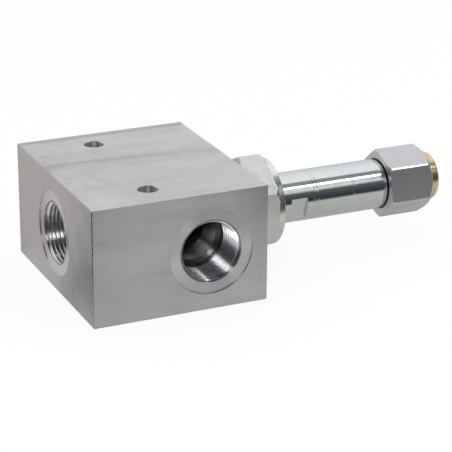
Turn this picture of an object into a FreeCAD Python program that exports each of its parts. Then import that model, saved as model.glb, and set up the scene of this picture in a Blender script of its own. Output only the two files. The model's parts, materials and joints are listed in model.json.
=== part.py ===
import FreeCAD, Part
import math
import os

from FreeCAD import Vector

# Two-way solenoid cartridge valve in a line-mount block, with no coil fitted. Millimetres.
# X runs along the cartridge to the tube's free end, -Y faces the side port and Z is up.
# The origin is the centre of the block's base. Along the cartridge, places are distances
# from the block face that the cartridge screws into: minus is inside the block.

# Block, cut from flat bar
block_length = 76.5
block_depth = 90.0
block_height = 50.0
sawn_edge_chamfer = 0.3
mount_hole_radius = 4.25
mount_hole_chamfer = 0.3
mount_hole_spacing = 61.0
mount_hole_front_setback = 15.3
mount_hole_side_setback = 30.0

# Ports, G 3/4 parallel threads drawn at their outer radius
port_thread_radius = 13.22
port_thread_length = 17.0
port_mouth_chamfer = 0.4
port_drill_radius = 12.06
port_drill_runout = 0.7
port_step_radius = 10.6
port_step_length = 1.4
port_taper_length = 7.0
spotface_radius = 18.35
spotface_depth = 0.5
passage_radius = 7.6
side_port_setback = 25.1

# Stepped cavity for the cartridge
cavity_mouth_radius = 17.6
cavity_mouth_depth = 3.2
cavity_thread_radius = 16.67
cavity_thread_depth = 14.6
chamber_radius = 14.5
chamber_depth = 36.5
nose_bore_radius = 12.7
nose_bore_depth = 50.0
nose_lead_in = 1.5

# Clearances
running_clearance = 0.03
sliding_clearance = 0.1
thread_clearance = 0.05
seal_clearance = 0.05
end_gap = 0.4
cut_margin = 1.0

# Cartridge body: seat flange, hexagon and collar in one turned piece
seat_flange_radius = 18.6
seat_flange_length = 5.6
hex_across_flats = 38.5
hex_length = 12.5
hex_corner_angle = 93.0
hex_chamfer_angle = math.radians(30.0)
hex_near_face_radius = 18.95
hex_far_face_radius = 20.8
hex_far_chamfer_length = 1.9
collar_radius = 18.95
collar_length = 3.2
collar_chamfer = 0.3
body_neck_radius = 14.9
body_neck_length = 4.0
body_thread_chamfer = 1.2
body_web_length = 10.0
body_web_bore_radius = 4.0

# Metering sleeve
sleeve_bore_radius = 8.0
sleeve_root_radius = 11.5
sleeve_waist_radius = 10.8
sleeve_shoulder_radius = 12.4
sleeve_shoulder_length = 2.0
sleeve_tip_chamfer = 0.8
metering_hole_radius = 3.0
metering_hole_count = 6
metering_hole_first_angle = 30.0
nose_groove_radius = 10.2
backup_ring_thickness = 1.3
ring_spacing = 0.1

# Spool and its spring
stroke = 4.0
spool_overlap = 0.8
spool_groove_radius = 6.6
spool_groove_length = 6.5
spool_land_length = 8.8
spool_cross_hole_radius = 2.25
spool_cross_hole_count = 4
spool_flow_radius = 3.8
balance_hole_radius = 0.7
balance_hole_offset = 2.9
balance_groove_depth = 0.35
balance_groove_length = 0.6
balance_groove_pitch = 1.8
balance_groove_count = 3
spring_pocket_radius = 5.0
spring_pocket_depth = 9.5
spring_outer_radius = 4.7
spring_wire_radius = 0.55
spring_turns = 6.0
spool_chamfer = 0.3
spool_end_room = 2.4
spring_seat_thickness = 1.5
spring_seat_hole_radius = 3.0
spring_seat_vent_radius = 1.3
spring_seat_vent_offset = 5.9
spring_seat_vent_count = 4
retaining_ring_thickness = 1.0
retaining_ring_depth = 0.7
retaining_ring_width = 1.7
retaining_ring_gap = 6.0
retaining_ring_setback = 1.1

# Armature tube, built from a pole piece, a non-magnetic ring and a drawn tube
tube_radius = 11.1
tube_wall = 1.5
pole_exposed_length = 18.2
pole_spigot_radius = 9.95
pole_spigot_length = 12.7
pole_groove_radius = 8.5
pole_groove_length = 2.1
pole_groove_setback = 1.0
pole_bevel_length = 0.9
pole_overlap = 1.0
flats_across = 19.0
flats_setback = 6.7
flats_length = 7.7
flats_angle = 197.0
ring_width = 1.5
seam_chamfer = 0.15
tube_length = 36.4
tube_roll_length = 4.9
tube_roll_drop = 1.2
tube_groove_setback = 17.0
tube_groove_length = 1.0
tube_groove_depth = 0.1

# Moving core
push_rod_radius = 2.0
shim_radius = 8.5
shim_thickness = 0.5
armature_end_gap = 0.5
armature_chamfer = 0.5
armature_vent_radius = 1.0
armature_vent_offset = 6.5

# End plug with its thread for the coil nut, drawn at its outer radius
plug_thread_radius = 11.0
plug_thread_chamfer = 1.0
plug_reach_past_nut = 4.8
plug_barrel_length = 5.0
plug_groove_radius = 8.2
plug_groove_length = 1.7
plug_pocket_radius = 4.8
plug_pocket_depth = 7.0

# Manual override pin
pin_radius = 3.0
pin_flange_radius = 4.5
pin_flange_thickness = 1.5
pin_recess = 0.6
pin_groove_radius = 1.9
pin_groove_length = 1.5
pin_groove_setback = 10.0
pin_chamfer = 0.4

# Coil nut, cut from hexagon bar
nut_across_flats = 27.0
nut_corner_radius = 15.35
nut_corner_angle = 79.1
nut_length = 21.2
nut_overlap = 1.6
nut_near_face_radius = 14.4
nut_far_face_radius = 13.1
nut_far_chamfer_length = 2.3
nut_mouth_depth = 2.4
nut_lip_clearance = 0.2
nut_lip_length = 0.6
nut_groove_radius = 12.3

# Places worked out along the cartridge
axis_height = block_height / 2
face_x = block_length / 2
hex_start = seat_flange_length
hex_end = hex_start + hex_length
collar_end = hex_end + collar_length
body_tip = -(cavity_thread_depth - end_gap)
spigot_start = collar_end - pole_spigot_length
body_socket_end = spigot_start - end_gap
sleeve_start = body_socket_end - body_web_length
sleeve_tip = -(nose_bore_depth - end_gap)
nose_start = -(chamber_depth + nose_lead_in)
base_end = collar_end + pole_exposed_length
tube_start = base_end + ring_width
tube_end = tube_start + tube_length
tube_bore_radius = tube_radius - tube_wall
tube_groove_start = tube_start + tube_groove_setback
tube_groove_end = tube_groove_start + tube_groove_length
roll_start = tube_end - tube_roll_length
pole_face = tube_start + pole_overlap
shim_face = pole_face + shim_thickness
armature_start = shim_face + stroke
plug_start = roll_start - plug_barrel_length
armature_end = plug_start - armature_end_gap
nut_start = tube_end - nut_overlap
nut_end = nut_start + nut_length
plug_end = nut_end + plug_reach_past_nut
plug_thread_start = tube_end + end_gap

metering_plane = -side_port_setback
spool_groove_start = metering_plane + metering_hole_radius + spool_overlap
spool_groove_end = spool_groove_start + spool_groove_length
spool_end = spool_groove_end + spool_land_length
retaining_ring_start = sleeve_tip + retaining_ring_setback
spring_seat_start = retaining_ring_start + retaining_ring_thickness
spring_seat_end = spring_seat_start + spring_seat_thickness
spool_start = spring_seat_end + stroke + spool_end_room
spring_pocket_end = spool_start + spring_pocket_depth

tube_fit_radius = tube_bore_radius - seal_clearance
roll_bend = (tube_roll_length ** 2 + tube_roll_drop ** 2) / (2 * tube_roll_drop)
roll_angle = math.asin(tube_roll_length / roll_bend)
pole_groove_start = collar_end - pole_groove_setback - pole_groove_length
plug_groove_start = (plug_start + roll_start - plug_groove_length) / 2
nose_ring_section = nose_bore_radius - nose_groove_radius - 1.5 * seal_clearance
nose_groove_length = nose_ring_section + 2 * backup_ring_thickness + 4 * ring_spacing
nose_groove_centre = (sleeve_tip + nose_start) / 2


def turned(outline, start=Vector(face_x, 0, axis_height), direction=Vector(1, 0, 0)):
    """Turns a closed outline of (distance, radius) points. A pair of points is an arc through the first."""
    edges = []
    here = Vector(outline[0][0], 0, outline[0][1])
    for item in outline[1:] + outline[:1]:
        if isinstance(item[0], tuple):
            middle = Vector(item[0][0], 0, item[0][1])
            there = Vector(item[1][0], 0, item[1][1])
            edges.append(Part.Arc(here, middle, there).toShape())
        else:
            there = Vector(item[0], 0, item[1])
            if there.isEqual(here, 1e-6):
                continue
            edges.append(Part.makeLine(here, there))
        here = there
    solid = Part.Face(Part.Wire(edges)).revolve(Vector(0, 0, 0), Vector(1, 0, 0), 360)
    solid.Placement = FreeCAD.Placement(start, FreeCAD.Rotation(Vector(1, 0, 0), direction))
    return solid


def cylinder(start, end, radius, offset=0.0, angle=0.0):
    """A bar along the cartridge, or parallel to it at an offset from its axis."""
    turn = math.radians(angle)
    base = Vector(face_x + start, offset * math.cos(turn), axis_height + offset * math.sin(turn))
    return Part.makeCylinder(radius, end - start, base, Vector(1, 0, 0))


def tube_section(start, end, outer, inner):
    return cylinder(start, end, outer).cut(cylinder(start, end, inner))


def radial_bar(place, radius, reach, angle):
    """A bar from the cartridge's axis straight outwards."""
    turn = math.radians(angle)
    base = Vector(face_x + place, 0, axis_height)
    return Part.makeCylinder(radius, reach, base, Vector(0, math.cos(turn), math.sin(turn)))


def seal_ring(place, inner, outer):
    """A round-section ring about the cartridge's axis."""
    section = (outer - inner) / 2
    centre = Vector(face_x + place, 0, axis_height)
    return Part.makeTorus(inner + section, section, centre, Vector(1, 0, 0))


def hexagon_bar(across_flats, start, end, first_corner):
    radius = across_flats / math.sqrt(3)
    corners = []
    for side in range(7):
        turn = math.radians(first_corner + 60 * side)
        corners.append(Vector(0, radius * math.cos(turn), radius * math.sin(turn)))
    face = Part.Face(Part.makePolygon(corners))
    face.translate(Vector(face_x + start, 0, axis_height))
    return face.extrude(Vector(end - start, 0, 0))


def tangent_arc(start, radius, bend, turn):
    """Middle and end point of an arc that leaves a cylinder's outline and bends towards the axis."""
    points = []
    for angle in (turn / 2, turn):
        points.append((start + bend * math.sin(angle), radius - bend * (1 - math.cos(angle))))
    return tuple(points)


def port_cutter(face_point, direction, reach):
    """Spotface, thread, drill run-out, taper and passage of a port, as deep as reach from the block's face."""
    thread_end = spotface_depth + port_thread_length
    drill_end = thread_end + port_drill_runout
    step_end = drill_end + port_step_length
    taper_end = step_end + port_taper_length
    passage_end = max(reach, taper_end) + cut_margin
    return turned([
        (-cut_margin, 0),
        (-cut_margin, spotface_radius),
        (spotface_depth, spotface_radius),
        (spotface_depth, port_thread_radius + port_mouth_chamfer),
        (spotface_depth + port_mouth_chamfer, port_thread_radius),
        (thread_end, port_thread_radius),
        (thread_end, port_drill_radius),
        (drill_end, port_drill_radius),
        (step_end, port_step_radius),
        (taper_end, passage_radius),
        (passage_end, passage_radius),
        (passage_end, 0),
    ], face_point, direction)


def mount_hole_cutter(place_y):
    """A through hole with a broken edge at both ends."""
    mouth = mount_hole_radius + mount_hole_chamfer + cut_margin
    place_x = -face_x + mount_hole_side_setback
    return turned([
        (-cut_margin, 0),
        (-cut_margin, mouth),
        (mount_hole_chamfer, mount_hole_radius),
        (block_height - mount_hole_chamfer, mount_hole_radius),
        (block_height + cut_margin, mouth),
        (block_height + cut_margin, 0),
    ], Vector(place_x, place_y, 0), Vector(0, 0, 1))


def manifold_block():
    corner = Vector(-face_x, -block_depth / 2, 0)
    block = Part.makeBox(block_length, block_depth, block_height, corner)
    sawn_edges = [edge for edge in block.Edges if abs(abs(edge.CenterOfMass.x) - face_x) < cut_margin]
    block = block.makeChamfer(sawn_edge_chamfer, sawn_edges)
    thread_to_chamber = cavity_thread_radius - chamber_radius
    cavity = turned([
        (cut_margin, 0),
        (cut_margin, cavity_mouth_radius),
        (0, cavity_mouth_radius),
        (-cavity_mouth_depth, cavity_thread_radius),
        (-cavity_thread_depth, cavity_thread_radius),
        (-cavity_thread_depth - thread_to_chamber, chamber_radius),
        (-chamber_depth, chamber_radius),
        (nose_start, nose_bore_radius),
        (-nose_bore_depth, nose_bore_radius),
        (-nose_bore_depth, 0),
    ])
    nose_port_face = Vector(-face_x, 0, axis_height)
    nose_port = port_cutter(nose_port_face, Vector(1, 0, 0), block_length - nose_bore_depth)
    side_port_face = Vector(face_x + metering_plane, -block_depth / 2, axis_height)
    side_port = port_cutter(side_port_face, Vector(0, 1, 0), block_depth / 2 - chamber_radius / 2)
    front_hole_y = -block_depth / 2 + mount_hole_front_setback
    front_hole = mount_hole_cutter(front_hole_y)
    back_hole = mount_hole_cutter(front_hole_y + mount_hole_spacing)
    return block.cut([cavity, nose_port, side_port, front_hole, back_hole])


def cartridge_body():
    thread_radius = cavity_thread_radius - thread_clearance
    shank = turned([
        (body_tip, 0),
        (body_tip, thread_radius - body_thread_chamfer),
        (body_tip + body_thread_chamfer, thread_radius),
        (-body_neck_length, thread_radius),
        (-body_neck_length, body_neck_radius),
        (0, body_neck_radius),
        (0, seat_flange_radius),
        (hex_start, seat_flange_radius),
        (hex_start, collar_radius),
        (collar_end - collar_chamfer, collar_radius),
        (collar_end, collar_radius - collar_chamfer),
        (collar_end, 0),
    ])
    hex_corner_radius = hex_across_flats / math.sqrt(3)
    near_slope = (hex_corner_radius - hex_near_face_radius) * math.tan(hex_chamfer_angle)
    turned_blank = turned([
        (hex_start, 0),
        (hex_start, hex_near_face_radius),
        (hex_start + near_slope, hex_corner_radius),
        (hex_end - hex_far_chamfer_length, hex_corner_radius),
        (hex_end, hex_far_face_radius),
        (hex_end, 0),
    ])
    head = hexagon_bar(hex_across_flats, hex_start, hex_end, hex_corner_angle).common(turned_blank)
    bore = turned([
        (body_tip - cut_margin, 0),
        (body_tip - cut_margin, sleeve_root_radius + thread_clearance),
        (sleeve_start, sleeve_root_radius + thread_clearance),
        (sleeve_start, body_web_bore_radius),
        (body_socket_end, body_web_bore_radius),
        (body_socket_end, pole_spigot_radius + thread_clearance),
        (collar_end + cut_margin, pole_spigot_radius + thread_clearance),
        (collar_end + cut_margin, 0),
    ])
    return shank.fuse(head).removeSplitter().cut(bore)


def cavity_o_ring():
    seat_angle = (cavity_mouth_radius - cavity_thread_radius) / cavity_mouth_depth
    seat_radius = cavity_mouth_radius - seat_angle * cavity_mouth_depth / 2
    return seal_ring(-cavity_mouth_depth / 2, body_neck_radius + seal_clearance, seat_radius - 2 * seal_clearance)


def metering_sleeve():
    nose_radius = nose_bore_radius - seal_clearance
    groove_half = nose_groove_length / 2
    sleeve = turned([
        (sleeve_start - end_gap, sleeve_bore_radius),
        (sleeve_start - end_gap, sleeve_root_radius),
        (body_tip, sleeve_root_radius),
        (body_tip, sleeve_shoulder_radius),
        (body_tip - sleeve_shoulder_length, sleeve_shoulder_radius),
        (body_tip - sleeve_shoulder_length, sleeve_waist_radius),
        (nose_start - end_gap, sleeve_waist_radius),
        (nose_start - end_gap, nose_radius),
        (nose_groove_centre + groove_half, nose_radius),
        (nose_groove_centre + groove_half, nose_groove_radius),
        (nose_groove_centre - groove_half, nose_groove_radius),
        (nose_groove_centre - groove_half, nose_radius),
        (sleeve_tip + sleeve_tip_chamfer, nose_radius),
        (sleeve_tip, nose_radius - sleeve_tip_chamfer),
        (sleeve_tip, sleeve_bore_radius),
    ])
    cutters = [tube_section(
        retaining_ring_start, spring_seat_start, sleeve_bore_radius + retaining_ring_depth, sleeve_bore_radius / 2)]
    for hole in range(metering_hole_count):
        angle = metering_hole_first_angle + hole * 360 / metering_hole_count
        cutters.append(radial_bar(metering_plane, metering_hole_radius, sleeve_shoulder_radius, angle))
    return sleeve.cut(cutters)


def nose_o_ring():
    return seal_ring(nose_groove_centre, nose_groove_radius + seal_clearance, nose_bore_radius - seal_clearance / 2)


def nose_backup_ring(side):
    """One of the two flat rings that stand on either side of the nose's round ring."""
    near = nose_ring_section / 2 + ring_spacing
    far = near + backup_ring_thickness
    start = nose_groove_centre + min(side * near, side * far)
    inner = nose_groove_radius + seal_clearance
    return tube_section(start, start + backup_ring_thickness, nose_bore_radius - seal_clearance / 2, inner)


def spool():
    radius = sleeve_bore_radius - running_clearance
    cross_plane = (spool_groove_start + spool_groove_end) / 2
    flow_end = cross_plane + spool_cross_hole_radius + end_gap
    outside = turned([
        (spool_start, 0),
        (spool_start, radius - spool_chamfer),
        (spool_start + spool_chamfer, radius),
        (spool_groove_start, radius),
        (spool_groove_start, spool_groove_radius),
        (spool_groove_end, spool_groove_radius),
        (spool_groove_end, radius),
        (spool_end - spool_chamfer, radius),
        (spool_end, radius - spool_chamfer),
        (spool_end, 0),
    ])
    cutters = [
        cylinder(spool_start - cut_margin, spring_pocket_end, spring_pocket_radius),
        cylinder(spring_pocket_end - cut_margin, flow_end, spool_flow_radius),
    ]
    for hole in range(spool_cross_hole_count):
        angle = hole * 360 / spool_cross_hole_count
        cutters.append(radial_bar(cross_plane, spool_cross_hole_radius, sleeve_bore_radius, angle))
    for angle in (0, 180):
        cutters.append(cylinder(
            flow_end - cut_margin, spool_end + cut_margin, balance_hole_radius, balance_hole_offset, angle))
    first_groove = spool_groove_end + balance_groove_pitch
    for groove in range(balance_groove_count):
        start = first_groove + groove * balance_groove_pitch
        cutters.append(tube_section(
            start, start + balance_groove_length, sleeve_bore_radius, radius - balance_groove_depth))
    return outside.cut(cutters)


def return_spring():
    """Wire wound between the spring seat and the spool's pocket, with both ends ground flat."""
    coil_radius = spring_outer_radius - spring_wire_radius
    length = spring_pocket_end - spring_seat_end
    lead = spring_wire_radius
    height = length + 2 * lead
    helix = Part.makeHelix(height / spring_turns, height, coil_radius)
    wire_end = Part.Wire([Part.makeCircle(spring_wire_radius, Vector(coil_radius, 0, 0), Vector(0, 1, 0))])
    coil = Part.Wire(helix).makePipeShell([wire_end], True, True)
    coil.Placement = FreeCAD.Placement(
        Vector(face_x + spring_seat_end - lead, 0, axis_height), FreeCAD.Rotation(Vector(0, 0, 1), Vector(1, 0, 0)))
    return coil.common(cylinder(spring_seat_end, spring_pocket_end, spring_outer_radius + spring_wire_radius))


def spring_seat():
    radius = sleeve_bore_radius - seal_clearance
    seat = tube_section(spring_seat_start, spring_seat_end, radius, spring_seat_hole_radius)
    vents = []
    for vent in range(spring_seat_vent_count):
        angle = vent * 360 / spring_seat_vent_count
        vents.append(cylinder(
            spring_seat_start, spring_seat_end, spring_seat_vent_radius, spring_seat_vent_offset, angle))
    return seat.cut(vents)


def retaining_ring():
    """A split ring sprung into its groove, with the gap at the bottom."""
    outer = sleeve_bore_radius + retaining_ring_depth - seal_clearance
    ring = tube_section(retaining_ring_start, spring_seat_start, outer, outer - retaining_ring_width)
    gap = Part.makeBox(
        retaining_ring_thickness, retaining_ring_gap, outer, Vector(
            face_x + retaining_ring_start, -retaining_ring_gap / 2, axis_height - outer))
    return ring.cut(gap)


def push_rod():
    return cylinder(spool_end, armature_start, push_rod_radius)


def pole_piece():
    pole = turned([
        (spigot_start, push_rod_radius + sliding_clearance),
        (spigot_start, pole_spigot_radius - seam_chamfer),
        (spigot_start + seam_chamfer, pole_spigot_radius),
        (pole_groove_start, pole_spigot_radius),
        (pole_groove_start, pole_groove_radius),
        (pole_groove_start + pole_groove_length, pole_groove_radius),
        (pole_groove_start + pole_groove_length, pole_spigot_radius),
        (collar_end, pole_spigot_radius),
        (collar_end, tube_radius - seam_chamfer),
        (collar_end + seam_chamfer, tube_radius),
        (base_end - seam_chamfer, tube_radius),
        (base_end, tube_radius - seam_chamfer),
        (base_end + pole_bevel_length, tube_fit_radius),
        (pole_face, tube_fit_radius),
        (pole_face, push_rod_radius + sliding_clearance),
    ])
    flats_start = collar_end + flats_setback
    for side in (0, 180):
        slab = Part.makeBox(
            flats_length, tube_radius, 2 * tube_radius,
            Vector(face_x + flats_start, flats_across / 2, axis_height - tube_radius))
        slab.rotate(Vector(0, 0, axis_height), Vector(1, 0, 0), flats_angle + side)
        pole = pole.cut(slab)
    return pole


def pole_o_ring():
    outer = pole_spigot_radius + thread_clearance / 2
    return seal_ring(pole_groove_start + pole_groove_length / 2, pole_groove_radius + seal_clearance / 2, outer)


def nonmagnetic_ring():
    """The brazed ring between pole piece and tube: its near side lies on the pole piece's bevel."""
    return turned([
        (base_end, tube_radius - seam_chamfer),
        (base_end + seam_chamfer, tube_radius),
        (tube_start - seam_chamfer, tube_radius),
        (tube_start, tube_radius - seam_chamfer),
        (tube_start, tube_fit_radius),
        (base_end + pole_bevel_length, tube_fit_radius),
    ])


def armature_tube():
    outer_arc = tangent_arc(roll_start, tube_radius, roll_bend, roll_angle)
    inner_arc = tangent_arc(roll_start, tube_bore_radius, roll_bend - tube_wall, roll_angle)
    return turned([
        (tube_start, tube_bore_radius),
        (tube_start, tube_radius - seam_chamfer),
        (tube_start + seam_chamfer, tube_radius),
        (tube_groove_start, tube_radius),
        (tube_groove_start + tube_groove_depth, tube_radius - tube_groove_depth),
        (tube_groove_end - tube_groove_depth, tube_radius - tube_groove_depth),
        (tube_groove_end, tube_radius),
        (roll_start, tube_radius),
        outer_arc,
        inner_arc[1],
        (inner_arc[0], (roll_start, tube_bore_radius)),
    ])


def anti_stick_shim():
    return tube_section(pole_face, shim_face, shim_radius, push_rod_radius + 2 * sliding_clearance)


def armature():
    radius = tube_bore_radius - sliding_clearance
    core = turned([
        (armature_start, 0),
        (armature_start, radius - armature_chamfer),
        (armature_start + armature_chamfer, radius),
        (armature_end - armature_chamfer, radius),
        (armature_end, radius - armature_chamfer),
        (armature_end, 0),
    ])
    vents = []
    for angle in (90, 270):
        vents.append(cylinder(
            armature_start - cut_margin, armature_end + cut_margin, armature_vent_radius, armature_vent_offset, angle))
    return core.cut(vents)


def end_plug():
    """Brass plug that the tube's end is rolled over, with the coil nut's thread on its outer part."""
    shoulder_arc = tangent_arc(roll_start, tube_fit_radius, roll_bend - tube_wall - seal_clearance, roll_angle)
    neck = shoulder_arc[1]
    pocket_end = plug_start + plug_pocket_depth
    return turned([
        (plug_start, plug_pocket_radius),
        (plug_start, tube_fit_radius),
        (plug_groove_start, tube_fit_radius),
        (plug_groove_start, plug_groove_radius),
        (plug_groove_start + plug_groove_length, plug_groove_radius),
        (plug_groove_start + plug_groove_length, tube_fit_radius),
        (roll_start, tube_fit_radius),
        shoulder_arc,
        (plug_thread_start, neck[1]),
        (plug_thread_start, plug_thread_radius - plug_thread_chamfer),
        (plug_thread_start + plug_thread_chamfer, plug_thread_radius),
        (plug_end - plug_thread_chamfer, plug_thread_radius),
        (plug_end, plug_thread_radius - plug_thread_chamfer),
        (plug_end, pin_radius + seal_clearance),
        (pocket_end, pin_radius + seal_clearance),
        (pocket_end, plug_pocket_radius),
    ])


def plug_o_ring():
    centre = plug_groove_start + plug_groove_length / 2
    return seal_ring(centre, plug_groove_radius + seal_clearance, tube_bore_radius - seal_clearance / 2)


def override_pin():
    """Stepped pin: the flange stops it in the plug's pocket and the tip rests on the armature."""
    flange_end = plug_start + plug_pocket_depth
    flange_start = flange_end - pin_flange_thickness
    pin_end = plug_end - pin_recess
    groove_end = pin_end - pin_groove_setback
    groove_start = groove_end - pin_groove_length
    return turned([
        (armature_end, 0),
        (armature_end, pin_radius - pin_chamfer),
        (armature_end + pin_chamfer, pin_radius),
        (flange_start, pin_radius),
        (flange_start, pin_flange_radius),
        (flange_end, pin_flange_radius),
        (flange_end, pin_radius),
        (groove_start, pin_radius),
        (groove_start, pin_groove_radius),
        (groove_end, pin_groove_radius),
        (groove_end, pin_radius),
        (pin_end - pin_chamfer, pin_radius),
        (pin_end, pin_radius - pin_chamfer),
        (pin_end, 0),
    ])


def override_o_ring():
    centre = plug_end - pin_recess - pin_groove_setback - pin_groove_length / 2
    return seal_ring(centre, pin_groove_radius + seal_clearance / 2, pin_radius + seal_clearance / 2)


def coil_nut():
    """Hexagon nut whose mouth takes the tube's rolled end, with a groove for the seal ring behind its lip."""
    lip_radius = tube_radius + nut_lip_clearance
    lip_end = nut_start + nut_lip_length
    near_slope = (nut_corner_radius - nut_near_face_radius) * math.tan(hex_chamfer_angle)
    turned_blank = turned([
        (nut_start, lip_radius),
        (nut_start, nut_near_face_radius),
        (nut_start + near_slope, nut_corner_radius),
        (nut_end - nut_far_chamfer_length, nut_corner_radius),
        (nut_end, nut_far_face_radius),
        (nut_end, plug_thread_radius + thread_clearance),
        (nut_start + nut_mouth_depth, plug_thread_radius + thread_clearance),
        (nut_start + nut_mouth_depth, nut_groove_radius),
        (lip_end, nut_groove_radius),
        (lip_end, lip_radius),
    ])
    return hexagon_bar(nut_across_flats, nut_start, nut_end, nut_corner_angle).common(turned_blank)


def nut_seal_ring():
    """Round ring in the groove of the nut's mouth, against the step where the thread begins."""
    inner = plug_thread_radius + sliding_clearance
    outer = nut_groove_radius - seal_clearance
    centre = nut_start + nut_mouth_depth - (outer - inner) / 2
    return seal_ring(centre, inner, outer)


PIECES = {
    "manifold_block": manifold_block,
    "cartridge_body": cartridge_body,
    "cavity_o_ring": cavity_o_ring,
    "metering_sleeve": metering_sleeve,
    "nose_o_ring": nose_o_ring,
    "nose_backup_ring_inner": lambda: nose_backup_ring(1),
    "nose_backup_ring_outer": lambda: nose_backup_ring(-1),
    "spool": spool,
    "return_spring": return_spring,
    "spring_seat": spring_seat,
    "retaining_ring": retaining_ring,
    "push_rod": push_rod,
    "pole_piece": pole_piece,
    "pole_o_ring": pole_o_ring,
    "nonmagnetic_ring": nonmagnetic_ring,
    "armature_tube": armature_tube,
    "anti_stick_shim": anti_stick_shim,
    "armature": armature,
    "end_plug": end_plug,
    "plug_o_ring": plug_o_ring,
    "override_pin": override_pin,
    "override_o_ring": override_o_ring,
    "coil_nut": coil_nut,
    "nut_seal_ring": nut_seal_ring,
}

os.makedirs("parts", exist_ok=True)
for name, make in PIECES.items():
    make().exportStep(os.path.join("parts", name + ".step"))
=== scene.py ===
# Looks of a solenoid cartridge valve in a line-mount block: cut threads, finishes and a small studio.
# Metres, in the packed model's frame: X along the cartridge, -Y out of the side port, Z up.

import json
import math

import bmesh
import bpy
from bpy.props import FloatProperty, FloatVectorProperty, PointerProperty
from mathutils import Matrix, Vector


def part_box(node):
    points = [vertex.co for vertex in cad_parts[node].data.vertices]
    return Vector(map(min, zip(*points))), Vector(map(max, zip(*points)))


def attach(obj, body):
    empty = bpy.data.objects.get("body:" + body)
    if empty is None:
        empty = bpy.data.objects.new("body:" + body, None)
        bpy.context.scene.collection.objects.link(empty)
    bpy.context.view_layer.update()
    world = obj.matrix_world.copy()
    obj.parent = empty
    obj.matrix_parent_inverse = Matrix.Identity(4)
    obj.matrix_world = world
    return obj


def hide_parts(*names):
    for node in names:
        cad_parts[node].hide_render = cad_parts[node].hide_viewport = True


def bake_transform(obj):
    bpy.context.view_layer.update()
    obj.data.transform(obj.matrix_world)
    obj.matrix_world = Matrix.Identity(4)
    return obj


bl_info = {
    "name": "Cartridge Valve Looks",
    "version": (1, 0, 0),
    "blender": (4, 5, 0),
    "location": "3D Viewport > Sidebar > Valve",
    "description": "Threads, metal finishes and a studio for a solenoid cartridge valve in its block",
    "category": "Object",
}

# A millimetre and a thousandth of one
MM = 0.001
UM = 0.000001

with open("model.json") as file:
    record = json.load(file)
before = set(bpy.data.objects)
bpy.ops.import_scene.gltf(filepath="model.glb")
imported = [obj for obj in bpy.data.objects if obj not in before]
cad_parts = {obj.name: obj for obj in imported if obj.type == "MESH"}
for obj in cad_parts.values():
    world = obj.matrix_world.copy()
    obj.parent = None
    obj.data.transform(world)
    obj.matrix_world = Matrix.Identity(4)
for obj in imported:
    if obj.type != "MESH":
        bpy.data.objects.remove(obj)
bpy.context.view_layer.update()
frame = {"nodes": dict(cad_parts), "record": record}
MOUNTS = {mount["name"]: mount for mount in frame["record"]["mounts"]}
BLOCK_LOW, BLOCK_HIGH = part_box("manifold_block")
PLUG_LOW, PLUG_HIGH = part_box("end_plug")
NUT_LOW, NUT_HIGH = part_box("coil_nut")
AXIS_Z = (BLOCK_LOW.z + BLOCK_HIGH.z) / 2
SIDE_PORT_X = MOUNTS["port_2"]["pos_m"][0]
PORT_ROOT_RADIUS = MOUNTS["port_1"]["dims"]["r_mm"] * MM
MOUNT_HOLE_RADIUS = MOUNTS["mounting_holes"]["dims"]["hole_r_mm"] * MM
ALONG_CARTRIDGE = (1.0, 0.0, 0.0)
ALONG_SIDE_PORT = (0.0, 1.0, 0.0)
WHITE = (1.0, 1.0, 1.0)


def amount(name, description, default, **limits):
    return FloatProperty(name=name, description=description, default=default, **limits)


def length(name, description, default):
    return amount(name, description, default, unit="LENGTH", precision=5)


def angle(name, description, degrees):
    return amount(name, description, math.radians(degrees), subtype="ANGLE")


def share(name, description, default):
    return amount(name, description, default, min=0.0, max=1.0, subtype="FACTOR")


def colour(name, description, default):
    return FloatVectorProperty(
        name=name, description=description, default=default, subtype="COLOR", size=3, min=0.0, max=1.0)


class PortThreadSizes(bpy.types.PropertyGroup):
    """Parallel pipe thread in both ports"""

    pitch: length("Pitch", "Distance between two turns", 0.001814)
    depth: length("Depth", "How far the ridges stand in from the bore", 0.00116)
    spotface: length("Spotface", "Depth of the ring face round the port's mouth", 0.0005)
    mouth_chamfer: length("Mouth chamfer", "How much wider than the thread the mouth starts", 0.0004)
    relief: length("Relief", "Plain length left at the thread's inner end", 0.0014)
    reach: length("Reach", "Length of the bore that takes the thread", 0.0170)


class PlugThreadSizes(bpy.types.PropertyGroup):
    """Metric thread of the end plug and the coil nut"""

    pitch: length("Pitch", "Distance between two turns", 0.0015)
    radius: length("Radius", "Outer radius of the plug's thread", 0.0110)
    depth: length("Depth", "Depth of the plug's grooves", 0.00081)
    end_chamfer: length("End chamfer", "Chamfer at both ends of the plug's thread", 0.0010)
    start: length("Start", "Distance from the plug's inner end to its thread", 0.0103)
    nut_bore: length("Nut bore", "Radius of the nut's bore", 0.01105)
    nut_mouth: length("Nut mouth", "Depth of the nut's plain mouth", 0.0024)


class PlugSizes(bpy.types.PropertyGroup):
    """Plain part of the end plug, inside the tube"""

    body_radius: length("Body radius", "Radius of the part that fits the tube", 0.00955)
    body_length: length("Body length", "Length of that part up to the rolled end", 0.0050)
    groove_radius: length("Groove radius", "Radius at the bottom of the seal groove", 0.0082)
    groove_length: length("Groove length", "Width of the seal groove", 0.0017)
    neck_radius: length("Neck radius", "Radius under the tube's rolled end", 0.008527)
    roll_length: length("Roll length", "Length of the shoulder under the rolled end", 0.00418)
    roll_angle: angle("Roll angle", "Angle that the shoulder turns through", 27.5)
    bore_radius: length("Bore radius", "Radius of the bore for the override pin", 0.00305)
    pocket_radius: length("Pocket radius", "Radius of the pocket for the pin's flange", 0.0048)
    pocket_depth: length("Pocket depth", "Depth of that pocket", 0.0070)


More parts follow.
